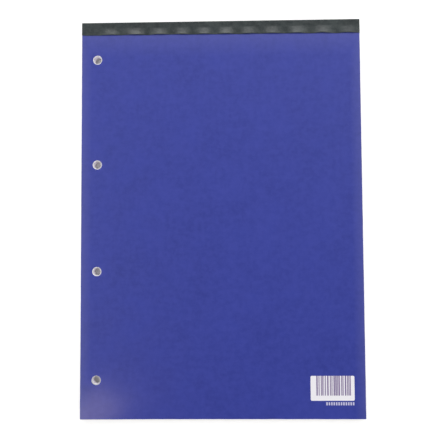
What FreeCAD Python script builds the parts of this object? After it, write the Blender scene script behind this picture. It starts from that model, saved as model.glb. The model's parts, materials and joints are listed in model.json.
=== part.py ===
import FreeCAD, Part
import math
import os

# A head-bound A4 writing pad, lying on its back board with the front cover closed.
# Ruled leaves, drilled for filing, lie between a card cover and a stiff board.
# One dark tape wraps their heads. It is stuck down along the head only, and below that its front flap
# is loose and stands in ripples.
# The front cover is one card. It is creased just below the tape, where it turns over the head.
#
# Sizes are in millimetres. +X is to the right as the front is read, +Y points to the bound head,
# and +Z out of the front cover. The origin is the middle of the underside.

# Leaves, card and board, all trimmed to the same outline
sheet_width = 210.0
sheet_length = 297.0
leaf_count = 80
leaf_thickness = 0.085
cover_thickness = 0.3
board_thickness = 0.9

# Tape over the head
tape_thickness = 0.25
tape_front_width = 10.2
tape_back_width = 12.0
tape_stuck_width = 4.4
tape_fold_radius = 0.4

# Ripples of the tape's loose front edge, from the pad's left side
ripple_first = 21.0
ripple_pitch = 17.9
ripple_wander = 2.2
ripple_wander_turn = 0.75
ripple_height = 0.8
ripple_fullness = 1.33
ripple_swell = 0.12
ripple_swell_turn = 1.7
ripple_slack = 0.04
ripple_points_per_pitch = 6

# How the loose flap rises from flat to its edge: the power of its curve, and the steps that it is lofted in
flap_rise_power = 1.2
flap_rise_steps = 4

# Crease of the front cover, below the tape's edge
crease_gap = 0.8

# Filing holes. The card's are drilled a little wider, and its printed face is torn back round them.
hole_count = 4
hole_pitch = 80.0
hole_inset = 12.0
hole_diameter = 6.0
cover_hole_play = 0.25
torn_rim_width = 0.35
torn_rim_depth = 0.12

# Places that follow from the sizes
pad_length = sheet_length + tape_thickness
left = -sheet_width / 2
foot = -pad_length / 2
leaf_head = foot + sheet_length
outer_head = leaf_head + tape_thickness

board_top = board_thickness
leaves_top = board_top + leaf_count * leaf_thickness
cover_top = leaves_top + cover_thickness

tape_front_edge = outer_head - tape_front_width
tape_back_edge = outer_head - tape_back_width
tape_loose_start = outer_head - tape_stuck_width
crease = tape_front_edge - crease_gap

hole_x = left + hole_inset
hole_middle = foot + sheet_length / 2
cover_hole_radius = hole_diameter / 2 + cover_hole_play


def plate(low_y, high_y, low_z, high_z):
    """A flat rectangular piece of the pad's full width."""
    corner = FreeCAD.Vector(left, low_y, low_z)
    return Part.makeBox(sheet_width, high_y - low_y, high_z - low_z, corner)


def hole_centres(height):
    """The middles of the filing holes at a height, from the foot to the head."""
    first = hole_middle - hole_pitch * (hole_count - 1) / 2
    return [FreeCAD.Vector(hole_x, first + hole_pitch * n, height) for n in range(hole_count)]


def drill(piece, radius):
    """The piece with the filing holes drilled through it."""
    box = piece.BoundBox
    bits = [Part.makeCylinder(radius, box.ZLength, centre) for centre in hole_centres(box.ZMin)]
    return piece.cut(Part.makeCompound(bits))


def tear_rims(card):
    """The card with its printed face broken back round each hole, where the drill tore it."""
    torn_radius = cover_hole_radius + torn_rim_width
    cones = [
        Part.makeCone(cover_hole_radius, torn_radius, torn_rim_depth, centre)
        for centre in hole_centres(cover_top - torn_rim_depth)
    ]
    return card.cut(Part.makeCompound(cones))


def front_cover():
    """The part of the cover card that turns, from the foot to the crease."""
    return tear_rims(drill(plate(foot, crease, leaves_top, cover_top), cover_hole_radius))


def front_cover_bound_edge():
    """The rest of the same card, from the crease to the head, held under the tape."""
    return plate(crease, leaf_head, leaves_top, cover_top)


def paper_block():
    """The ruled leaves as one trimmed and drilled block."""
    return drill(plate(foot, leaf_head, board_top, leaves_top), hole_diameter / 2)


def back_board():
    """The stiff board under the leaves. The tape's back flap is pressed into its underside, flush."""
    board = plate(foot, leaf_head, 0, board_top)
    seat = plate(tape_back_edge, leaf_head, 0, tape_thickness)
    return drill(board.cut(seat), hole_diameter / 2)


def tape_wrap():
    """The tape where it is stuck down: back flap, spine and the head side of the front flap."""
    tape_top = cover_top + tape_thickness
    outline = [
        (tape_loose_start, cover_top),
        (leaf_head, cover_top),
        (leaf_head, tape_thickness),
        (tape_back_edge, tape_thickness),
        (tape_back_edge, 0),
        (outer_head, 0),
        (outer_head, tape_top),
        (tape_loose_start, tape_top),
    ]
    corners = [FreeCAD.Vector(left, y, z) for y, z in outline]
    section = Part.Face(Part.makePolygon(corners + corners[:1]))
    wrap = section.extrude(FreeCAD.Vector(sheet_width, 0, 0))
    folds = [
        edge
        for edge in wrap.Edges
        if edge.BoundBox.XLength > sheet_width / 2 and edge.BoundBox.YMin > leaf_head + tape_thickness / 2
    ]
    return wrap.makeFillet(tape_fold_radius, folds)


def ripple_crests():
    """The crests' places along X. Their spacing wanders a little, as a loose edge does."""
    count = 1 + int((sheet_width - ripple_first) / ripple_pitch)
    return [
        left + ripple_first + ripple_pitch * n + ripple_wander * math.sin(ripple_wander_turn * n)
        for n in range(count)
    ]


def ripple_lift(x, crests):
    """How far the loose edge stands off the cover at x: highest on a crest, slack halfway between two.

    A fullness of 1 gives plain cosine waves, and a higher one gives rounder crests with tighter hollows.
    """
    nearest = min(range(len(crests)), key=lambda n: abs(x - crests[n]))
    beside = nearest + (1 if x > crests[nearest] else -1)
    if 0 <= beside < len(crests):
        spacing = abs(crests[beside] - crests[nearest])
    else:
        spacing = ripple_pitch
    turn = min(abs(x - crests[nearest]) / spacing, 0.5) * 2 * math.pi
    crest_height = ripple_height * (1 + ripple_swell * math.sin(ripple_swell_turn * nearest))
    return ripple_slack + crest_height * ((1 + math.cos(turn)) / 2) ** (1 / ripple_fullness)


def rippled_section(y, share):
    """The loose flap's closed section across the pad at y, with that share of the ripples' full lift."""
    crests = ripple_crests()
    steps = math.ceil(sheet_width / ripple_pitch) * ripple_points_per_pitch
    places = [left + sheet_width * n / steps for n in range(steps + 1)]
    under = [FreeCAD.Vector(x, y, cover_top + share * ripple_lift(x, crests)) for x in places]
    over = [point + FreeCAD.Vector(0, 0, tape_thickness) for point in under]
    waves = []
    for points in (under, over):
        wave = Part.BSplineCurve()
        wave.interpolate(points)
        waves.append(wave.toShape())
    ends = [Part.makeLine(under[n], over[n]) for n in (0, -1)]
    return Part.Wire([waves[0], ends[1], waves[1], ends[0]])


def tape_loose_flap():
    """The loose part of the front flap, which rises from flat to its rippled edge."""
    reach = tape_front_edge - tape_loose_start
    ways = [step / flap_rise_steps for step in range(flap_rise_steps + 1)]
    sections = [rippled_section(tape_loose_start + reach * way, way**flap_rise_power) for way in ways]
    return Part.makeLoft(sections, True)


def binding_tape():
    """The whole tape, in one piece."""
    return tape_wrap().fuse(tape_loose_flap())


pieces = {
    "front_cover": front_cover(),
    "front_cover_bound_edge": front_cover_bound_edge(),
    "paper_block": paper_block(),
    "back_board": back_board(),
    "binding_tape": binding_tape(),
}

os.makedirs("parts", exist_ok=True)
for name, shape in pieces.items():
    shape.exportStep(f"parts/{name}.step")
    print(name, "valid:", shape.isValid(), "solids:", len(shape.Solids), "mm3:", round(shape.Volume, 1))
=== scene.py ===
import json
import math

import bpy
import numpy as np
from mathutils import Matrix, Vector


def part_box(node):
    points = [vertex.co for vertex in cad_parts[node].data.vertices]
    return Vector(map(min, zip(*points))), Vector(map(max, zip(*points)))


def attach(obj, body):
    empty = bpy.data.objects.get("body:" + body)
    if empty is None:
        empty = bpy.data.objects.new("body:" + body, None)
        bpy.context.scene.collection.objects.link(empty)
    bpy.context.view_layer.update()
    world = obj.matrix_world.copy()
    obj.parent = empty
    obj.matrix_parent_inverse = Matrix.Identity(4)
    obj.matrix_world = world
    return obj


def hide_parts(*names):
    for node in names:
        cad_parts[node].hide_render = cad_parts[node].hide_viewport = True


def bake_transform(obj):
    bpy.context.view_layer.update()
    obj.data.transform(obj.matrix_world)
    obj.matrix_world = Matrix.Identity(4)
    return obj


# A head-bound writing pad: a blue card cover, ruled leaves, a grey back board and a dark tape over the head.
#
# Sizes are in metres. They come from the frame, or are the size of something too fine for it.
# X is to the right as the cover is read, Y points to the bound head, and Z up out of the cover.

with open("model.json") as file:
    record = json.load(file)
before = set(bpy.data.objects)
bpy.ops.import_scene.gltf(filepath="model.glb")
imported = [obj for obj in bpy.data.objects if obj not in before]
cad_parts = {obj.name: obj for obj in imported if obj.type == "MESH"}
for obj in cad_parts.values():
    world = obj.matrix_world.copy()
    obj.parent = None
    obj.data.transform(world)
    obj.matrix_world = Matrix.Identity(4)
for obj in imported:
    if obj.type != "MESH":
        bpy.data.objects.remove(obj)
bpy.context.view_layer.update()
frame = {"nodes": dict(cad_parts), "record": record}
chance = np.random.default_rng(seed=20)
mm = 0.001

# Places read from the frame
leaves_low, leaves_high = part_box("paper_block")
card_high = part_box("front_cover")[1]
tape_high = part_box("binding_tape")[1]
left, right = leaves_low.x, leaves_high.x
foot, leaf_head, outer_head = leaves_low.y, leaves_high.y, tape_high.y
leaves_bottom, leaves_top, cover_top = leaves_low.z, leaves_high.z, card_high.z
crease = card_high.y
pad_width = right - left
pad_length = outer_head - foot
tape_thickness = outer_head - leaf_head


def filing_holes():
    """The filing holes' middles, from the foot to the head, and their radius, from the frame's mounts."""
    patterns = [mount for mount in frame["record"]["mounts"] if mount["kind"] == "bolt_pattern"]
    places = []
    for pattern in patterns:
        x, y, _ = pattern["pos_m"]
        half = pattern["dims"]["spacing_y_mm"] * mm / 2
        places += [(x, y - half), (x, y + half)]
    return sorted(places, key=lambda place: place[1]), patterns[0]["dims"]["hole_r_mm"] * mm


hole_places, leaf_hole_radius = filing_holes()

# The cover card. Round each hole its rim is pressed down, and torn white at the very edge.
card_hole_radius = leaf_hole_radius + 0.25 * mm
pressed_rim_width = 0.35 * mm
pressed_rim_depth = 0.12 * mm
torn_rim_width = 0.1 * mm
torn_rim_depth = 0.06 * mm
torn_rim_raggedness = 0.12 * mm
card_edge_crush = 0.05 * mm
card_corner_wear = 0.22 * mm

# A slight curl of the cover's lower left corner: how high, how far it reaches, and how sharply it rises
corner_curl = 1.0 * mm
curl_reach_x = 80 * mm
curl_reach_y = 90 * mm
curl_sharpness = 1.5

# The leaves, as bunches that stand slightly proud of each other on the cut sides and in the drilled holes.
# The drill left the holes a little narrower than itself, and more so further down.
leaf_bunches = 40
bunch_unevenness = 0.05 * mm
bunch_most = 0.14 * mm
hole_burr = 0.12 * mm
hole_taper = 0.2 * mm

# The tape, which was stuck on a little askew
tape_front_width = 10.2 * mm
tape_front = outer_head - tape_front_width
tape_stuck_width = 4.4 * mm
tape_back_width = 12.0 * mm
tape_fold_radius = 0.4 * mm
tape_askew = 0.5 * mm
tape_edge_wander = 0.1 * mm

# The ripples of the tape's loose flap, from the pad's left side
ripple_first = 21.0 * mm
ripple_pitch = 17.9 * mm
ripple_wander = 2.2 * mm
ripple_wander_turn = 0.75
ripple_height = 0.8 * mm
ripple_fullness = 1.33
ripple_swell = 0.12
ripple_swell_turn = 1.7
ripple_slack = 0.04 * mm
ripple_draw_in = 0.22 * mm

# The flap rises by a power of the way out along it. From lip_start on, it turns down by a share of its lift.
flap_rise_power = 1.2
lip_start = 0.88
lip_drop = 0.2

# The printed panel in the cover's lower right corner, and the ticks that are printed below it
panel_left, panel_right = left + 169.7 * mm, left + 201.7 * mm
panel_top, panel_bottom = leaf_head - 265.6 * mm, leaf_head - 283.6 * mm
panel_corner = 1.0 * mm
bars_left_margin = 4.2 * mm
bars_right_margin = 2.4 * mm
bars_length = 14.25 * mm
bar_unit = 0.33 * mm
bar_most_units = 3
ticks_left, ticks_right = left + 180.95 * mm, left + 202.05 * mm
ticks_top = leaf_head - 284.65 * mm
tick_height = 2.25 * mm
tick_count = 12
tick_share = 0.62
ink_thickness = 0.02 * mm

# How finely the pieces are meshed
card_step = 5.0 * mm
bend_step = 0.2 * mm
bend_margin_below = 4.0 * mm
bend_margin_above = 1.0 * mm
leaf_step = 14.0 * mm
tape_step = 0.6 * mm
lip_step = 0.12 * mm
lip_step_reach = 0.8 * mm
flap_step = 0.35 * mm
stuck_step = 0.8 * mm
back_step = 1.2 * mm
fold_points = 7

# The steps in which the tape's edge wanders, and a length that is too small to matter
wander_step = 6.0 * mm
hair = 0.01 * mm

# The leaf's ruling and its row of slits to tear along
rule_pitch = 8.0 * mm
rule_width = 0.22 * mm
rule_strength = 0.75
first_rule = 28.0 * mm
margin_inset = 30.0 * mm
slit_inset = 12.6 * mm
slit_width = 0.25 * mm
slit_pitch = 1.6 * mm
slit_share = 0.65
slit_depth = 2.0

# The threads of the tape's cloth, the lines on the cut leaves, and the heights where the ripples' crests get
# a painted highlight
thread_pitch = 0.5 * mm
leaf_line_pitch = 0.17 * mm
crest_highlight_start, crest_highlight_end = 0.25 * mm, 0.9 * mm

# How far in, and how much, a painted sheen makes the cover's print paler along its sides and below the tape
side_sheen_reach, side_sheen = 8.0 * mm, 0.042
crease_sheen_reach, crease_sheen = 16.0 * mm, 0.035

# The back board's blunt edges
board_blunting = 0.08 * mm
board_blunting_segments = 2

# The camera's place when the photograph was taken, the spot on the cover that it looked at, and its turn
photo_width_px = 444
photo_focal_px = 700
sensor_width_mm = 36.0
camera_place = Vector((14.8, -34.3, 528.0)) * mm
camera_aim = Vector((0.58, -3.83, 8.0)) * mm
camera_turn = math.radians(0.351)

# The floor. For the eye a glow lifts it to white, and more so further off, where less light falls.
floor_half = 3.0
floor_drop = 0.02 * mm
floor_glow = 0.34
floor_glow_start = 1.5 * mm
far_floor_glow = 0.72
far_floor_start, far_floor_end = 0.25, 1.2

# The room's light, and what the eye sees of the room: white low down, and a ceiling brighter to the head
room_light = 0.4
backdrop_height, ceiling_height = 0.2, 0.6
ceiling_strength = 0.28
ceiling_slope = 0.4


def display_colour(red, green, blue):
    """A screen's colour, from 0 to 255, as the linear values that a shader takes, by sRGB's curve."""
    levels = [value / 255 for value in (red, green, blue)]
    linear = [v / 12.92 if v <= 0.04045 else ((v + 0.055) / 1.055) ** 2.4 for v in levels]
    return (*linear, 1.0)


# Colours, as a screen shows them
cover_ink_deep = display_colour(8, 33, 137)
cover_ink_light = display_colour(25, 45, 153)
cover_ink_fleck = display_colour(42, 55, 160)
card_white = display_colour(225, 222, 228)
card_torn_white = display_colour(242, 236, 250)
card_inside_white = display_colour(222, 222, 218)
leaf_white = display_colour(240, 240, 234)
leaf_white_deep = display_colour(232, 231, 224)
leaf_edge_white = display_colour(253, 249, 255)
# Painted shade for the lines of the leaves' cut edges: darker on the sides, and paler in the drilled holes so
# that their walls stay bright
leaf_edge_shadow = display_colour(214, 211, 211)
leaf_bore_shadow = display_colour(239, 235, 244)
feint_blue = display_colour(120, 150, 200)
margin_red = display_colour(205, 110, 120)
slit_shadow = display_colour(130, 128, 122)
board_grey = display_colour(150, 143, 130)
board_grey_deep = display_colour(134, 127, 115)
board_fibre_pale = display_colour(190, 184, 172)
board_fibre_dark = display_colour(90, 84, 76)
tape_dark = display_colour(8, 22, 25)
tape_pale = display_colour(20, 36, 39)
tape_crest_highlight = display_colour(72, 78, 78)
tape_lint = display_colour(88, 94, 92)
panel_white = display_colour(246, 244, 250)
panel_white_deep = display_colour(240, 238, 245)
bar_ink = display_colour(130, 110, 158)
bar_ink_deep = display_colour(116, 96, 144)
tick_ink = display_colour(204, 202, 228)
tick_ink_deep = display_colour(192, 190, 220)

# How much of its light raw card keeps in its darker flecks
raw_card_shade = 0.86

# The colours of the floor and of light, which are linear values already
floor_colour = (0.9, 0.9, 0.9, 1.0)
white = (1.0, 1.0, 1.0)
warm_white = (1.0, 0.8, 0.6)


# Meshes


def ruler(start, *stretches):
    """Places from start to each stretch's end in turn, about that stretch's step apart."""
    places = [start]
    for end, step in stretches:
        count = max(1, round((end - places[-1]) / step))
        places.extend(np.linspace(places[-1], end, count + 1)[1:])
    return np.array(places)


def smooth_step(low, high, value):
    """0 below low, 1 above high, and a smooth rise between."""
    share = np.clip((value - low) / (high - low), 0, 1)
    return share * share * (3 - 2 * share)


def make_piece(name, points, faces, materials, slots=None, sharp_angle=35):
    """A mesh piece at its place, which also keeps each point's place at rest for its materials."""
    points = np.asarray(points, float)
    mesh = bpy.data.meshes.new(name)
    mesh.from_pydata(points.tolist(), [], [list(map(int, face)) for face in faces])
    for material in materials:
        mesh.materials.append(material)
    if slots is not None:
        mesh.polygons.foreach_set("material_index", np.asarray(slots, np.int32))
    place = mesh.attributes.new("place", "FLOAT_VECTOR", "POINT")
    place.data.foreach_set("vector", points.astype(np.float32).ravel())
    mesh.shade_smooth()
    mesh.set_sharp_from_angle(angle=math.radians(sharp_angle))
    mesh.update()
    piece = bpy.data.objects.new(name, mesh)
    bpy.context.scene.collection.objects.link(piece)
    return piece


class DrilledSheet:
    """The grid of a flat sheet with the filing holes, laid in rings round each hole."""

    patch = 7.0 * mm
    patch_cells = 16
    ring_shares = (0.0, 0.1, 0.25, 0.5)
    edge_band = 0.6 * mm

    def __init__(self, step, close_rows=()):
        hole_x = hole_places[0][0]
        cell = 2 * self.patch / self.patch_cells
        columns = ruler(
            left,
            (left + self.edge_band, self.edge_band),
            (hole_x - self.patch, step),
            (hole_x + self.patch, cell),
            (right - self.edge_band, step),
            (right, self.edge_band),
        )
        stretches = [(foot + self.edge_band, self.edge_band)]
        for _, hole_y in hole_places:
            stretches += [(hole_y - self.patch, step), (hole_y + self.patch, cell)]
        stretches += [*close_rows, (leaf_head - self.edge_band, step), (leaf_head, self.edge_band)]
        self.columns, self.rows = columns, ruler(foot, *stretches)
        self.number = {}
        self.centres, self.arms, self.shares = [], [], []
        self.faces, self.hole_loops = [], []
        self._lay_grid()
        self._lay_rings()

    def _add(self, centre, arm, share):
        """Numbers a new point, which lies that share of the way out along its arm from a hole's edge."""
        self.centres.append(centre)
        self.arms.append(arm)
        self.shares.append(share)
        return len(self.centres) - 1

    def _in_patch(self, x, y):
        """Whether a place lies inside the square patch round one of the holes."""
        reach = self.patch - hair
        return any(max(abs(x - hole_x), abs(y - hole_y)) < reach for hole_x, hole_y in hole_places)

    def _lay_grid(self):
        """Numbers the grid's points outside the holes' patches, and lays its quads and its outer loop."""
        columns, rows, number = self.columns, self.rows, self.number
        for j, y in enumerate(rows):
            for i, x in enumerate(columns):
                if not self._in_patch(x, y):
                    number[i, j] = self._add((x, y), (0.0, 0.0), 1.0)
        for j in range(len(rows) - 1):
            for i in range(len(columns) - 1):
                if not self._in_patch(columns[i : i + 2].mean(), rows[j : j + 2].mean()):
                    corners = ((i, j), (i + 1, j), (i + 1, j + 1), (i, j + 1))
                    self.faces.append([number[corner] for corner in corners])
        last_column, last_row = len(columns) - 1, len(rows) - 1
        self.outer_loop = (
            [number[i, 0] for i in range(last_column)]
            + [number[last_column, j] for j in range(last_row)]
            + [number[i, last_row] for i in range(last_column, 0, -1)]
            + [number[0, j] for j in range(last_row, 0, -1)]
        )

    def _lay_rings(self):
        """Joins each patch's square edge to its hole with rings of quads."""
        n = self.patch_cells
        for hole_x, hole_y in hole_places:
            first_i = int(np.argmin(abs(self.columns - (hole_x - self.patch))))
            first_j = int(np.argmin(abs(self.rows - (hole_y - self.patch))))
            square = (
                [(first_i + k, first_j) for k in range(n)]
                + [(first_i + n, first_j + k) for k in range(n)]
                + [(first_i + n - k, first_j + n) for k in range(n)]
                + [(first_i, first_j + n - k) for k in range(n)]
            )
            arms = [(self.columns[i] - hole_x, self.rows[j] - hole_y) for i, j in square]
            rings = [[self._add((hole_x, hole_y), arm, share) for arm in arms] for share in self.ring_shares]
            rings.append([self.number[cell] for cell in square])
            for inner, outer in zip(rings, rings[1:]):
                for k in range(len(square)):
                    after = (k + 1) % len(square)
                    self.faces.append([inner[k], outer[k], outer[after], inner[after]])
            self.hole_loops.append(rings[0])

    def places(self, hole_radius, inset=0.0, raggedness=None, corner_wear=0.0):
        """Where every point lies, with this hole radius and the outline drawn in by inset."""
        centres, arms = np.array(self.centres), np.array(self.arms)
        shares = np.array(self.shares)
        reach = np.linalg.norm(arms, axis=1)
        radius = np.full(len(centres), hole_radius)
        if raggedness is not None:
            for loop, ragged in zip(self.hole_loops, raggedness):
                radius[loop] += ragged
        length = radius + shares * (reach - radius)
        spokes = np.divide(arms, reach[:, None], out=np.zeros_like(arms), where=reach[:, None] > 0)
        places = np.where(reach[:, None] > 0, centres + spokes * length[:, None], centres)
        places[:, 0] = np.clip(places[:, 0], self.columns[0] + inset, self.columns[-1] - inset)
        places[:, 1] = np.clip(places[:, 1], self.rows[0] + inset, self.rows[-1] - inset)
        if corner_wear:
            for foot_corner, inward in ((0, 1), (len(self.columns) - 1, -1)):
                places[self.number[foot_corner, 0]] += (inward * corner_wear, corner_wear)
        return places

    def solid(self, levels, lift=None):
        """The sheet's closed solid through these levels, from the lowest up, as points, faces and face kinds.

        A level is its height and what places() takes. A kind is bottom, top, side or hole, with its level.
        """
        points, loops, kinds, faces = [], [], [], []
        outer_and_holes = [self.outer_loop, *self.hole_loops]
        last = len(levels) - 1
        for rank, (height, shape) in enumerate(levels):
            flat = self.places(**shape)
            heights = height + (lift(flat) if lift else np.zeros(len(flat)))
            here = np.column_stack([flat, heights])
            base = len(points)
            if rank in (0, last):
                points.extend(here)
                loops.append([[base + n for n in loop] for loop in outer_and_holes])
                kind, turn = ("top", 1) if rank == last else ("bottom", -1)
                faces += [[base + n for n in face[::turn]] for face in self.faces]
                kinds += [(kind, rank)] * len(self.faces)
            else:
                loops.append([])
                for loop in outer_and_holes:
                    loops[-1].append(list(range(len(points), len(points) + len(loop))))
                    points.extend(here[loop])
        for rank in range(last):
            for which, (below, above) in enumerate(zip(loops[rank], loops[rank + 1])):
                kind, turn = ("side", 1) if which == 0 else ("hole", -1)
                for k in range(len(below)):
                    after = (k + 1) % len(below)
                    faces.append([below[k], below[after], above[after], above[k]][::turn])
                    kinds.append((kind, rank))
        return points, faces, kinds


def curl(flat):
    """How far the cover stands off the leaves towards its lower left corner."""
    near_left = 1 - smooth_step(0, curl_reach_x, flat[:, 0] - left)
    near_foot = 1 - smooth_step(0, curl_reach_y, flat[:, 1] - foot)
    return corner_curl * (near_left * near_foot) ** curl_sharpness


def ragged_rims():
    """How much further each spoke of each hole's rim is torn."""
    spokes = 4 * DrilledSheet.patch_cells
    rims = [np.abs(chance.normal(0, torn_rim_raggedness / 2, spokes)) for _ in hole_places]
    return [np.minimum((rim + np.roll(rim, 1)) / 2, torn_rim_raggedness) for rim in rims]


def cover_card(printed_face, torn_edge, cut_edge, inside):
    """The front cover in one piece with its bound edge, meshed closely at the crease."""
    close_rows = [(crease - bend_margin_below, card_step), (tape_front + bend_margin_above, bend_step)]
    sheet = DrilledSheet(card_step, close_rows)
    plain = {"hole_radius": card_hole_radius, "corner_wear": card_corner_wear}
    torn = plain | {"hole_radius": card_hole_radius + torn_rim_width, "raggedness": ragged_rims()}
    pressed = plain | {"hole_radius": card_hole_radius + pressed_rim_width, "inset": card_edge_crush}
    levels = [
        (leaves_top, plain),
        (cover_top - pressed_rim_depth, plain),
        (cover_top - torn_rim_depth, torn),
        (cover_top, pressed),
    ]
    points, faces, kinds = sheet.solid(levels, lift=curl)
    printed, bare, cut, within = range(4)
    slot_of = {"top": printed, "hole": bare, "side": cut, "bottom": within}
    pressed_rim = ("hole", len(levels) - 2)
    slots = [printed if kind == pressed_rim else slot_of[kind[0]] for kind in kinds]
    piece = make_piece("cover_card", points, faces, [printed_face, torn_edge, cut_edge, inside], slots)
    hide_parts("front_cover", "front_cover_bound_edge")
    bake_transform(piece)


def leaves(ruled, cut_edges, drilled_edges):
    """The block of leaves, whose bunches stand unevenly on the cut sides and in the holes."""
    sheet = DrilledSheet(leaf_step)
    unevenness = np.abs(chance.normal(0, bunch_unevenness, leaf_bunches))
    unevenness = bunch_most * np.tanh(unevenness / bunch_most)
    unevenness[[0, -1]] = 0
    heights = np.linspace(leaves_bottom, leaves_top, leaf_bunches + 1)
    levels = []
    drawn_in = hole_burr + hole_taper * np.linspace(1, 0, leaf_bunches)
    for low, high, inset, narrower in zip(heights, heights[1:], unevenness, drawn_in):
        shape = {"hole_radius": leaf_hole_radius + inset - narrower, "inset": inset}
        levels += [(low, shape), (high, shape)]
    points, faces, kinds = sheet.solid(levels)
    face, cut, drilled = range(3)
    slot_of = {"top": face, "bottom": face, "side": cut, "hole": drilled}
    slots = [slot_of[kind] for kind, _ in kinds]
    piece = make_piece("leaves", points, faces, [ruled, cut_edges, drilled_edges], slots)
    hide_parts("paper_block")
    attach(piece, "pad")


def ripple_crests():
    """The crests' places along X, as the frame's tape has them."""
    count = 1 + int((pad_width - ripple_first) / ripple_pitch)
    n = np.arange(count)
    return left + ripple_first + ripple_pitch * n + ripple_wander * np.sin(ripple_wander_turn * n)


def ripple_wave(x):
    """Each place's share of the full ripple, and the height of the crest that it belongs to."""
    crests = ripple_crests()
    nearest = np.abs(x[:, None] - crests[None, :]).argmin(axis=1)
    away = x - crests[nearest]
    beside = nearest + np.where(away > 0, 1, -1)
    has_beside = (beside >= 0) & (beside < len(crests))
    neighbour = crests[np.clip(beside, 0, len(crests) - 1)]
    spacing = np.where(has_beside, np.abs(neighbour - crests[nearest]), ripple_pitch)
    turn = np.minimum(np.abs(away) / spacing, 0.5) * 2 * np.pi
    height = ripple_height * (1 + ripple_swell * np.sin(ripple_swell_turn * nearest))
    return ((1 + np.cos(turn)) / 2) ** (1 / ripple_fullness), height


def tape_section():
    """The tape's section from its front edge, over the head, to its back edge.

    Each row is the inner face's Y and Z, the outer face's Y and Z, and the share of the way out along the
    loose flap.
    """
    tape_top = cover_top + tape_thickness
    loose_start = outer_head - tape_stuck_width
    fold_y = outer_head - tape_fold_radius
    inner_radius = tape_fold_radius - tape_thickness
    front = ruler(
        tape_front,
        (tape_front + lip_step_reach, lip_step),
        (loose_start, flap_step),
        (fold_y, stuck_step),
    )
    rows = []
    for y in front[:-1]:
        way = max(0.0, (loose_start - y) / (loose_start - tape_front))
        rows.append((y, cover_top, y, tape_top, way))
    for fold_z, start, end in ((tape_top - tape_fold_radius, 90, 0), (tape_fold_radius, 0, -90)):
        for angle in np.radians(np.linspace(start, end, fold_points)):
            across, up = math.cos(angle), math.sin(angle)
            inner = (fold_y + inner_radius * across, fold_z + inner_radius * up)
            outer = (fold_y + tape_fold_radius * across, fold_z + tape_fold_radius * up)
            rows.append((*inner, *outer, 0.0))
    for y in ruler(fold_y, (outer_head - tape_back_width, back_step))[1:]:
        rows.append((y, tape_thickness, y, 0.0, 0.0))
    return np.array(rows)


def rippled_tape(cloth, cut_edge):
    """The binding tape, with its loose front edge standing in ripples."""
    section = tape_section()
    x = ruler(left, (right, tape_step))
    share, height = ripple_wave(x)
    knots = ruler(left, (right, wander_step))
    wander = np.interp(x, knots, chance.normal(0, 1, len(knots)))
    way = section[:, 4][None, :]
    lip = np.clip((way - lip_start) / (1 - lip_start), 0, 1)
    lift = (way**flap_rise_power - lip_drop * lip**2) * (ripple_slack + (height * share)[:, None])
    drawn_in = ripple_draw_in * share + tape_edge_wander * np.clip(wander, -1, 1) - tape_askew * x / right
    shift = way**2 * drawn_in[:, None]
    around = len(section)
    points = []
    for column, place in enumerate(x):
        for y, z in ((section[:, 2], section[:, 3]), (section[:, 0], section[:, 1])):
            across = np.full(around, place)
            points.extend(np.column_stack([across, y + shift[column], z + lift[column]]))
    face, edge = range(2)
    faces, slots = [], []
    stride = 2 * around
    last = (len(x) - 1) * stride
    for a in range(0, last, stride):
        b = a + stride
        for k in range(around - 1):
            faces.append([a + k, b + k, b + k + 1, a + k + 1])
            faces.append([a + around + k, a + around + k + 1, b + around + k + 1, b + around + k])
            slots += [face, face]
        for k, turn in ((0, 1), (around - 1, -1)):
            faces.append([a + k, a + around + k, b + around + k, b + k][::turn])
            slots.append(edge)
    for a, turn in ((0, 1), (last, -1)):
        for k in range(around - 1):
            faces.append([a + k, a + k + 1, a + around + k + 1, a + around + k][::turn])
            slots.append(edge)
    piece = make_piece("rippled_tape", points, faces, [cloth, cut_edge], slots, sharp_angle=50)
    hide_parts("binding_tape")
    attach(piece, "pad")


def printed_shape(name, outlines, bottom, material):
    """Flat ink shapes on the cover, each a thin closed slab from its outline, as one piece."""
    points, faces = [], []
    for outline in outlines:
        base, count = len(points), len(outline)
        points += [(x, y, bottom) for x, y in outline]
        points += [(x, y, bottom + ink_thickness) for x, y in outline]
        faces.append([base + k for k in reversed(range(count))])
        faces.append([base + count + k for k in range(count)])
        for k in range(count):
            after = (k + 1) % count
            faces.append([base + k, base + after, base + count + after, base + count + k])
    piece = make_piece(name, points, faces, [material])
    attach(piece, "cover")


def rounded_outline(low_x, high_x, low_y, high_y, radius, steps=6):
    """A rectangle's outline with round corners, anticlockwise."""
    corners = ((high_x, high_y, 0), (low_x, high_y, 90), (low_x, low_y, 180), (high_x, low_y, 270))
    outline = []
    for x, y, start in corners:
        centre_x = x - radius if x == high_x else x + radius
        centre_y = y - radius if y == high_y else y + radius
        for angle in np.radians(np.linspace(start, start + 90, steps + 1)):
            outline.append((centre_x + radius * math.cos(angle), centre_y + radius * math.sin(angle)))
    return outline


def box_outline(low_x, high_x, low_y, high_y):
    """A rectangle's outline, anticlockwise."""
    return [(low_x, low_y), (high_x, low_y), (high_x, high_y), (low_x, high_y)]


def printed_panel(paper, dark, pale):
    """A white panel with plain bars, and a row of plain ticks below it."""
    panel = rounded_outline(panel_left, panel_right, panel_bottom, panel_top, panel_corner)
    printed_shape("printed_panel", [panel], cover_top, paper)
    start, end = panel_left + bars_left_margin, panel_right - bars_right_margin
    bars = []
    while start < end:
        bar, gap = chance.integers(1, bar_most_units + 1, 2) * bar_unit
        bars.append(box_outline(start, min(start + bar, end), panel_top - bars_length, panel_top))
        start += bar + gap
    printed_shape("printed_bars", bars, cover_top + ink_thickness, dark)
    pitch = (ticks_right - ticks_left) / tick_count
    ticks = []
    for n in range(tick_count):
        start, end = ticks_left + pitch * n, ticks_left + pitch * (n + tick_share)
        ticks.append(box_outline(start, end, ticks_top - tick_height, ticks_top))
    printed_shape("printed_ticks", ticks, cover_top, pale)


# Shader nodes


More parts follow.
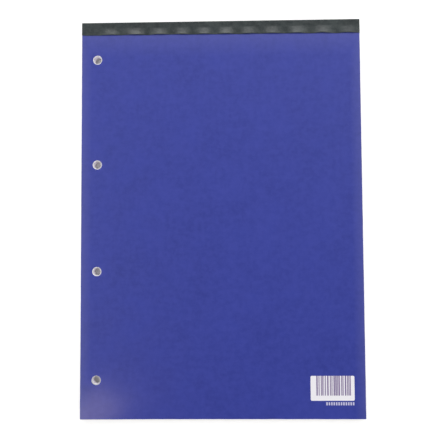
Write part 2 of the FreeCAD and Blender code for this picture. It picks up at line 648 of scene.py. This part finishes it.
class Nodes:
    """A node tree that is written from left to right."""

    colour_mix_inputs = (0, 6, 7)
    colour_mix_output = 2

    def __init__(self, tree):
        self.tree = tree

    def add(self, kind, inputs=None, **settings):
        """A node with these settings, whose named or numbered inputs are linked or given values."""
        node = self.tree.nodes.new(kind)
        for key, value in settings.items():
            setattr(node, key, value)
        for key, value in (inputs or {}).items():
            self.join(value, node.inputs[key])
        return node

    def join(self, value, socket):
        """Links an output to the socket, or gives the socket a plain value."""
        if isinstance(value, bpy.types.NodeSocket):
            self.tree.links.new(value, socket)
        else:
            socket.default_value = value

    def maths(self, operation, *values, clamp=False):
        """The outcome of one operation on the values."""
        node = self.add("ShaderNodeMath", operation=operation, use_clamp=clamp)
        for value, socket in zip(values, node.inputs):
            self.join(value, socket)
        return node.outputs[0]

    def parts(self, vector):
        """A vector's X, Y and Z."""
        outputs = self.add("ShaderNodeSeparateXYZ", {0: vector}).outputs
        return outputs["X"], outputs["Y"], outputs["Z"]

    def noise(self, place, scale, detail=2.0, roughness=0.5):
        """Soft noise about 0.5, with that many lumps to a metre."""
        inputs = {"Vector": place, "Scale": scale, "Detail": detail, "Roughness": roughness}
        return self.add("ShaderNodeTexNoise", inputs).outputs["Fac"]

    def spread(self, value, low, high, to_low=0.0, to_high=1.0):
        """value, from the range low to high, onto another range, with its ends held."""
        inputs = {"Value": value, "From Min": low, "From Max": high, "To Min": to_low, "To Max": to_high}
        return self.add("ShaderNodeMapRange", inputs).outputs["Result"]

    def mix(self, share, first, second):
        """The first colour, with that share of the second."""
        inputs = dict(zip(self.colour_mix_inputs, (share, first, second)))
        node = self.add("ShaderNodeMix", inputs, data_type="RGBA")
        return node.outputs[self.colour_mix_output]

    def stretched(self, place, x=1.0, y=1.0, z=1.0):
        """place with each axis scaled, for grain that runs one way."""
        node = self.add("ShaderNodeVectorMath", {0: place, 1: (x, y, z)}, operation="MULTIPLY")
        return node.outputs[0]

    def group(self, tree, **inputs):
        """The outputs of a node group that is placed with these inputs."""
        node = self.add("ShaderNodeGroup", node_tree=tree)
        for key, value in inputs.items():
            self.join(value, node.inputs[key.replace("_", " ").capitalize()])
        return node.outputs


def new_group(name, inputs, outputs):
    """An empty node group with named sockets, as its tree, its nodes, and its inner start and end sockets."""
    tree = bpy.data.node_groups.new(name, "ShaderNodeTree")
    for socket_name, kind, value in inputs:
        socket = tree.interface.new_socket(name=socket_name, in_out="INPUT", socket_type=kind)
        if value is not None:
            socket.default_value = value
    for socket_name, kind in outputs:
        tree.interface.new_socket(name=socket_name, in_out="OUTPUT", socket_type=kind)
    nodes = Nodes(tree)
    start = nodes.add("NodeGroupInput").outputs
    end = nodes.add("NodeGroupOutput").inputs
    return tree, nodes, start, end


def paper_fibre_group():
    """Short fibres pressed flat: a fine height, and flecks about zero. Fibre length is in millimetres."""
    tree, nodes, start, end = new_group(
        "paper fibre",
        [
            ("Place", "NodeSocketVector", None),
            ("Fibre length", "NodeSocketFloat", 1.0),
            ("Fleck amount", "NodeSocketFloat", 0.5),
        ],
        [("Height", "NodeSocketFloat"), ("Fleck", "NodeSocketFloat")],
    )
    place = start["Place"]
    scale = nodes.maths("DIVIDE", 1.0, nodes.maths("MULTIPLY", start["Fibre length"], mm))
    lengthwise = nodes.noise(nodes.stretched(place, x=0.35), scale, detail=3, roughness=0.6)
    crosswise = nodes.noise(nodes.stretched(place, y=0.35), scale, detail=3, roughness=0.6)
    height = nodes.maths("MULTIPLY", nodes.maths("ADD", lengthwise, crosswise), 0.5)
    nodes.join(height, end["Height"])
    spots = nodes.noise(place, nodes.maths("MULTIPLY", scale, 0.7), detail=2, roughness=0.7)
    flecks = nodes.maths("SUBTRACT", nodes.maths("ADD", spots, height), 1.0)
    nodes.join(nodes.maths("MULTIPLY", flecks, start["Fleck amount"]), end["Fleck"])
    return tree


def outline_wear_group():
    """A mask of rubbed places along the pad's outline, broken up by noise. Reach is in millimetres."""
    tree, nodes, start, end = new_group(
        "outline wear",
        [
            ("Place", "NodeSocketVector", None),
            ("Reach", "NodeSocketFloat", 0.5),
            ("Break up", "NodeSocketFloat", 0.7),
        ],
        [("Mask", "NodeSocketFloat")],
    )
    x, y, _ = nodes.parts(start["Place"])
    from_side = nodes.maths("SUBTRACT", pad_width / 2, nodes.maths("ABSOLUTE", x))
    from_end = nodes.maths("SUBTRACT", pad_length / 2, nodes.maths("ABSOLUTE", y))
    inward = nodes.maths("MINIMUM", from_side, from_end)
    coarse = nodes.noise(start["Place"], scale=90, detail=4, roughness=0.65)
    broken = nodes.maths("MULTIPLY", nodes.spread(coarse, low=0.35, high=0.7), start["Break up"])
    share = nodes.maths("ADD", nodes.maths("SUBTRACT", 1.0, start["Break up"]), broken)
    reach = nodes.maths("MULTIPLY", nodes.maths("MULTIPLY", start["Reach"], mm), share)
    far = nodes.maths("DIVIDE", inward, nodes.maths("MAXIMUM", reach, hair))
    nodes.join(nodes.maths("SUBTRACT", 1.0, far, clamp=True), end["Mask"])
    return tree


def material_nodes(name, place_kept=True):
    """A new material, its nodes, its place socket and its shader's inputs.

    The place is the one at rest that make_piece() keeps, or the object's own coordinates.
    """
    material = bpy.data.materials.new(name)
    material.use_nodes = True
    material.node_tree.nodes.clear()
    nodes = Nodes(material.node_tree)
    if place_kept:
        place = nodes.add("ShaderNodeAttribute", attribute_name="place").outputs["Vector"]
    else:
        place = nodes.add("ShaderNodeTexCoord").outputs["Object"]
    surface = nodes.add("ShaderNodeBsdfPrincipled")
    output = nodes.add("ShaderNodeOutputMaterial")
    nodes.join(surface.outputs[0], output.inputs["Surface"])
    return material, nodes, place, surface.inputs


def bump(nodes, height, strength, distance):
    """A normal from a height, where distance is how high a height of 1 really stands, in metres."""
    inputs = {"Height": height, "Strength": strength, "Distance": distance}
    return nodes.add("ShaderNodeBump", inputs).outputs["Normal"]


# Materials


def printed_card():
    """The cover's face: mottled blue-violet ink on satin card, rubbed along the edges, with a painted sheen
    that makes it paler along its sides and below the tape.
    """
    material, nodes, place, surface = material_nodes("printed card")
    x, y, _ = nodes.parts(place)
    fibre = nodes.group(paper_fibre, place=place, fibre_length=0.5, fleck_amount=0.5)
    cloudy = nodes.group(paper_fibre, place=place, fibre_length=3.0, fleck_amount=0.8)["Fleck"]
    mottle = nodes.noise(place, scale=42, detail=6, roughness=0.7)
    ink = nodes.mix(nodes.spread(mottle, low=0.3, high=0.7), cover_ink_deep, cover_ink_light)
    ink = nodes.mix(nodes.spread(fibre["Fleck"], -0.25, 0.25, to_high=0.3), ink, cover_ink_fleck)
    ink = nodes.mix(nodes.spread(cloudy, -0.15, 0.15, to_high=0.55), ink, cover_ink_fleck)
    # Painted highlight: the print turns paler towards the sides and just below the crease, as a sheen would
    # make it
    from_side = nodes.maths("SUBTRACT", pad_width / 2, nodes.maths("ABSOLUTE", x))
    sheen_at_side = nodes.spread(from_side, 0, side_sheen_reach, to_low=side_sheen, to_high=0)
    from_crease = nodes.maths("SUBTRACT", crease, y)
    sheen_at_crease = nodes.spread(from_crease, 0, crease_sheen_reach, to_low=crease_sheen, to_high=0)
    ink = nodes.mix(nodes.maths("MAXIMUM", sheen_at_side, sheen_at_crease), ink, card_white)
    worn = nodes.group(outline_wear, place=place, reach=0.5, break_up=0.8)["Mask"]
    colour = nodes.mix(nodes.maths("MULTIPLY", worn, 0.8), ink, card_white)
    nodes.join(colour, surface["Base Color"])
    nodes.join(nodes.spread(mottle, 0.3, 0.7, to_low=0.46, to_high=0.54), surface["Roughness"])
    surface["Coat Weight"].default_value = 0.6
    surface["Coat Roughness"].default_value = 0.13
    nodes.join(bump(nodes, fibre["Height"], strength=0.35, distance=0.03 * mm), surface["Normal"])
    return material


def raw_card(name, colour, fibre_length):
    """Unprinted card, as on a cut or torn edge and on the inside."""
    material, nodes, place, surface = material_nodes(name)
    fibre = nodes.group(paper_fibre, place=place, fibre_length=fibre_length, fleck_amount=0.8)
    shaded = (*(raw_card_shade * value for value in colour[:3]), 1.0)
    flecked = nodes.mix(nodes.spread(fibre["Fleck"], low=-0.3, high=0.3), shaded, colour)
    nodes.join(flecked, surface["Base Color"])
    surface["Roughness"].default_value = 0.75
    nodes.join(bump(nodes, fibre["Height"], strength=0.5, distance=0.05 * mm), surface["Normal"])
    return material


def ruled_leaf():
    """The top leaf: off-white paper with feint lines, a margin and a row of slits to tear along."""
    material, nodes, place, surface = material_nodes("ruled leaf")
    x, y, _ = nodes.parts(place)
    fibre = nodes.group(paper_fibre, place=place, fibre_length=0.8, fleck_amount=0.6)
    paper = nodes.mix(nodes.spread(fibre["Fleck"], low=-0.3, high=0.3), leaf_white_deep, leaf_white)
    below_head = nodes.maths("SUBTRACT", leaf_head, y)
    row = nodes.maths("PINGPONG", nodes.maths("SUBTRACT", below_head, first_rule), rule_pitch / 2)
    feint = nodes.maths("LESS_THAN", row, rule_width / 2)
    below_first = nodes.maths("GREATER_THAN", below_head, first_rule - rule_width)
    feint = nodes.maths("MULTIPLY", feint, below_first)
    from_margin = nodes.maths("ABSOLUTE", nodes.maths("SUBTRACT", x, left + margin_inset))
    margin = nodes.maths("LESS_THAN", from_margin, rule_width / 2)
    paper = nodes.mix(nodes.maths("MULTIPLY", feint, rule_strength), paper, feint_blue)
    paper = nodes.mix(nodes.maths("MULTIPLY", margin, rule_strength), paper, margin_red)
    from_slits = nodes.maths("ABSOLUTE", nodes.maths("SUBTRACT", below_head, slit_inset))
    slit = nodes.maths("LESS_THAN", from_slits, slit_width / 2)
    along = nodes.maths("PINGPONG", x, slit_pitch / 2)
    slit = nodes.maths("MULTIPLY", slit, nodes.maths("LESS_THAN", along, slit_pitch * slit_share / 2))
    nodes.join(nodes.mix(slit, paper, slit_shadow), surface["Base Color"])
    surface["Roughness"].default_value = 0.8
    height = nodes.maths("SUBTRACT", fibre["Height"], nodes.maths("MULTIPLY", slit, slit_depth))
    nodes.join(bump(nodes, height, strength=0.4, distance=0.04 * mm), surface["Normal"])
    return material


def cut_leaves(name, shadow):
    """The cut edges of the leaves: fine lines of painted shade along every leaf, darker where leaves stand
    apart.
    """
    material, nodes, place, surface = material_nodes(name)
    along_leaves = nodes.stretched(place, x=0.02, y=0.02)
    layers = nodes.noise(along_leaves, scale=1 / leaf_line_pitch, detail=1)
    along_bunches = nodes.stretched(place, x=0.03, y=0.03)
    bands = nodes.noise(along_bunches, scale=0.16 / leaf_line_pitch, roughness=0.6)
    streaks = nodes.noise(place, scale=160, detail=3, roughness=0.6)
    line_shade = nodes.spread(layers, 0.35, 0.65, to_low=0.5)
    band_shade = nodes.spread(bands, 0.3, 0.65, to_low=0.6)
    streak_shade = nodes.spread(streaks, 0.3, 0.7, to_low=0.93)
    shade = nodes.maths("MULTIPLY", nodes.maths("MULTIPLY", line_shade, band_shade), streak_shade)
    nodes.join(nodes.mix(shade, shadow, leaf_edge_white), surface["Base Color"])
    surface["Roughness"].default_value = 0.85
    nodes.join(bump(nodes, layers, strength=0.6, distance=0.06 * mm), surface["Normal"])
    return material


def grey_board():
    """Stiff board of grey waste paper, with pale and dark fibres in it."""
    material, nodes, place, surface = material_nodes("grey board", place_kept=False)
    fibre = nodes.group(paper_fibre, place=place, fibre_length=1.6, fleck_amount=1.0)
    cloud = nodes.noise(place, scale=25, detail=4, roughness=0.6)
    pulp = nodes.mix(nodes.spread(cloud, low=0.35, high=0.65), board_grey_deep, board_grey)
    pale = nodes.spread(fibre["Fleck"], 0.1, 0.3, to_high=0.5)
    dark = nodes.spread(fibre["Fleck"], -0.3, -0.12, to_low=0.5, to_high=0)
    pulp = nodes.mix(pale, pulp, board_fibre_pale)
    pulp = nodes.mix(dark, pulp, board_fibre_dark)
    worn = nodes.group(outline_wear, place=place, reach=0.8, break_up=0.9)["Mask"]
    pulp = nodes.mix(nodes.maths("MULTIPLY", worn, 0.35), pulp, board_fibre_pale)
    nodes.join(pulp, surface["Base Color"])
    surface["Roughness"].default_value = 0.85
    nodes.join(bump(nodes, fibre["Height"], strength=0.6, distance=0.08 * mm), surface["Normal"])
    return material


def binding_cloth():
    """Dark book cloth with a fine close weave, and a paler painted highlight on the ripples' crests."""
    material, nodes, place, surface = material_nodes("binding cloth")
    x, y, z = nodes.parts(place)
    thread_turn = 2 * math.pi / thread_pitch
    warp = nodes.maths("SINE", nodes.maths("MULTIPLY", x, thread_turn))
    weft = nodes.maths("SINE", nodes.maths("MULTIPLY", nodes.maths("ADD", y, z), thread_turn))
    weave = nodes.spread(nodes.maths("MULTIPLY", warp, weft), low=-1, high=1)
    fibre = nodes.group(paper_fibre, place=place, fibre_length=0.7, fleck_amount=0.8)
    cloudy = nodes.group(paper_fibre, place=place, fibre_length=2.5, fleck_amount=0.8)["Fleck"]
    cloud = nodes.noise(place, scale=70, detail=4, roughness=0.65)
    cloth = nodes.mix(nodes.spread(cloud, low=0.3, high=0.7), tape_dark, tape_pale)
    cloth = nodes.mix(nodes.spread(fibre["Fleck"], 0.0, 0.4, to_high=0.35), cloth, tape_lint)
    cloth = nodes.mix(nodes.spread(cloudy, -0.12, 0.15, to_high=0.2), cloth, tape_lint)
    tape_top = cover_top + tape_thickness
    # A painted highlight on the ripples' crests: paler the higher the tape stands
    crest = nodes.spread(z, tape_top + crest_highlight_start, tape_top + crest_highlight_end, to_high=0.2)
    cloth = nodes.mix(crest, cloth, tape_crest_highlight)
    worn = nodes.group(outline_wear, place=place, reach=0.45, break_up=0.8)["Mask"]
    cloth = nodes.mix(nodes.maths("MULTIPLY", worn, 0.4), cloth, tape_lint)
    nodes.join(cloth, surface["Base Color"])
    nodes.join(nodes.spread(cloud, 0.3, 0.7, to_low=0.31, to_high=0.37), surface["Roughness"])
    threads = nodes.maths("MULTIPLY", weave, 0.6)
    height = nodes.maths("ADD", threads, nodes.maths("MULTIPLY", fibre["Height"], 0.5))
    nodes.join(bump(nodes, height, strength=0.5, distance=0.035 * mm), surface["Normal"])
    return material


def frayed_edge():
    """The tape's cut edge, where paler threads show."""
    material, nodes, place, surface = material_nodes("frayed edge")
    fibre = nodes.group(paper_fibre, place=place, fibre_length=0.3, fleck_amount=1.0)
    threads = nodes.spread(fibre["Fleck"], low=-0.2, high=0.3)
    nodes.join(nodes.mix(threads, tape_dark, tape_lint), surface["Base Color"])
    surface["Roughness"].default_value = 0.8
    nodes.join(bump(nodes, fibre["Height"], strength=0.6, distance=0.05 * mm), surface["Normal"])
    return material


def flat_ink(name, first, second):
    """An ink that lies slightly unevenly on the card."""
    material, nodes, place, surface = material_nodes(name)
    fibre = nodes.group(paper_fibre, place=place, fibre_length=0.5, fleck_amount=0.6)
    uneven = nodes.spread(fibre["Fleck"], low=-0.3, high=0.3)
    nodes.join(nodes.mix(uneven, first, second), surface["Base Color"])
    surface["Roughness"].default_value = 0.45
    nodes.join(bump(nodes, fibre["Height"], strength=0.3, distance=0.02 * mm), surface["Normal"])
    return material


def dress_board():
    """The frame's back board keeps its shape. It gets its finish, and edges that are slightly blunt."""
    board = frame["nodes"]["back_board"]
    board.data.materials.clear()
    board.data.materials.append(grey_board())
    blunt = board.modifiers.new("blunt edges", "BEVEL")
    blunt.width = board_blunting
    blunt.segments = board_blunting_segments
    blunt.limit_method = "ANGLE"


# Camera, floor and light


def set_camera():
    """The camera as the photograph has it."""
    data = bpy.data.cameras.new("camera")
    data.sensor_width = sensor_width_mm
    data.lens = photo_focal_px / photo_width_px * sensor_width_mm
    camera = bpy.data.objects.new("camera", data)
    bpy.context.scene.collection.objects.link(camera)
    forward = (camera_aim - camera_place).normalized()
    head_up = Vector((math.sin(camera_turn), math.cos(camera_turn), 0))
    rightward = forward.cross(head_up).normalized()
    upward = rightward.cross(forward)
    turn = Matrix((rightward, upward, -forward)).transposed().to_4x4()
    camera.matrix_world = Matrix.Translation(camera_place) @ turn
    bpy.context.scene.camera = camera


def to_the_eye(nodes, seen, unseen):
    """A strength that is one value where the camera, a reflection or glass sees it, and another elsewhere."""
    path = nodes.add("ShaderNodeLightPath").outputs
    looks = nodes.maths("MAXIMUM", path["Is Camera Ray"], path["Is Glossy Ray"])
    looks = nodes.maths("MAXIMUM", looks, path["Is Transmission Ray"])
    return nodes.spread(looks, low=0, high=1, to_low=unseen, to_high=seen)


def set_floor():
    """A plain pale floor. It keeps the pad's shadow, and beyond the pad it is lifted to white for the eye."""
    points = [(x, y, -floor_drop) for x in (-floor_half, floor_half) for y in (-floor_half, floor_half)]
    material, nodes, place, surface = material_nodes("floor", place_kept=False)
    x, y, _ = nodes.parts(place)
    beyond_side = nodes.maths("SUBTRACT", nodes.maths("ABSOLUTE", x), pad_width / 2)
    beyond_end = nodes.maths("SUBTRACT", nodes.maths("ABSOLUTE", y), pad_length / 2)
    beyond = nodes.maths("MAXIMUM", beyond_side, beyond_end)
    glow = nodes.spread(beyond, far_floor_start, far_floor_end, to_low=floor_glow, to_high=far_floor_glow)
    glow = nodes.maths("MULTIPLY", nodes.spread(beyond, -floor_glow_start, 0), glow)
    glow = nodes.maths("MULTIPLY", glow, to_the_eye(nodes, seen=1.0, unseen=0.0))
    surface["Base Color"].default_value = floor_colour
    surface["Roughness"].default_value = 0.9
    surface["Emission Color"].default_value = (*white, 1.0)
    nodes.join(glow, surface["Emission Strength"])
    floor = make_piece("floor", points, [(0, 2, 3, 1)], [material])


def set_world():
    """Soft light from all round, with white behind the pad and a dimmer ceiling for the eye."""
    world = bpy.data.worlds.new("studio")
    bpy.context.scene.world = world
    world.use_nodes = True
    world.node_tree.nodes.clear()
    nodes = Nodes(world.node_tree)
    _, y, z = nodes.parts(nodes.add("ShaderNodeTexCoord").outputs["Generated"])
    ceiling = nodes.maths("ADD", ceiling_strength, nodes.maths("MULTIPLY", y, ceiling_slope))
    seen = nodes.spread(z, backdrop_height, ceiling_height, to_low=1.0, to_high=ceiling)
    background = nodes.add("ShaderNodeBackground", {"Color": (*white, 1.0)})
    nodes.join(to_the_eye(nodes, seen, unseen=room_light), background.inputs["Strength"])
    output = nodes.add("ShaderNodeOutputWorld")
    nodes.join(background.outputs[0], output.inputs["Surface"])


def set_lamp(name, place, width, height, watts, colour=white):
    """A soft box of this width and height, in metres, that faces the pad's middle."""
    data = bpy.data.lights.new(name, "AREA")
    data.color = colour
    data.shape = "RECTANGLE"
    data.size, data.size_y = width, height
    data.energy = watts
    lamp = bpy.data.objects.new(name, data)
    bpy.context.scene.collection.objects.link(lamp)
    lamp.location = place
    lamp.rotation_euler = (-Vector(place)).to_track_quat("-Z", "Y").to_euler()


# The pad
paper_fibre = paper_fibre_group()
outline_wear = outline_wear_group()

cover_card(
    printed_card(),
    raw_card("torn card", card_torn_white, fibre_length=0.4),
    raw_card("cut card", card_white, fibre_length=0.3),
    raw_card("inside of cover", card_inside_white, fibre_length=1.0),
)
leaves(
    ruled_leaf(),
    cut_leaves("cut leaves", leaf_edge_shadow),
    cut_leaves("drilled leaves", leaf_bore_shadow),
)
rippled_tape(binding_cloth(), frayed_edge())
printed_panel(
    flat_ink("panel white", panel_white_deep, panel_white),
    flat_ink("bar ink", bar_ink_deep, bar_ink),
    flat_ink("tick ink", tick_ink_deep, tick_ink),
)
dress_board()

# The studio
set_camera()
set_floor()
set_world()
set_lamp("head soft box", place=(0.0, 1.05, 1.0), width=0.95, height=0.3, watts=6.7)
set_lamp("right soft box", place=(0.75, 0.3, 1.0), width=0.7, height=0.7, watts=3.5)
set_lamp("foot soft box", place=(0.5, -0.75, 1.0), width=0.6, height=0.6, watts=1.1)
set_lamp("left soft box", place=(-0.53, -0.02, 1.0), width=1.0, height=0.3, watts=2.4)
set_lamp("foot glow", place=(-0.295, -0.366, 1.0), width=0.12, height=0.2, watts=0.3, colour=warm_white)
bpy.context.scene.view_settings.view_transform = "Standard"
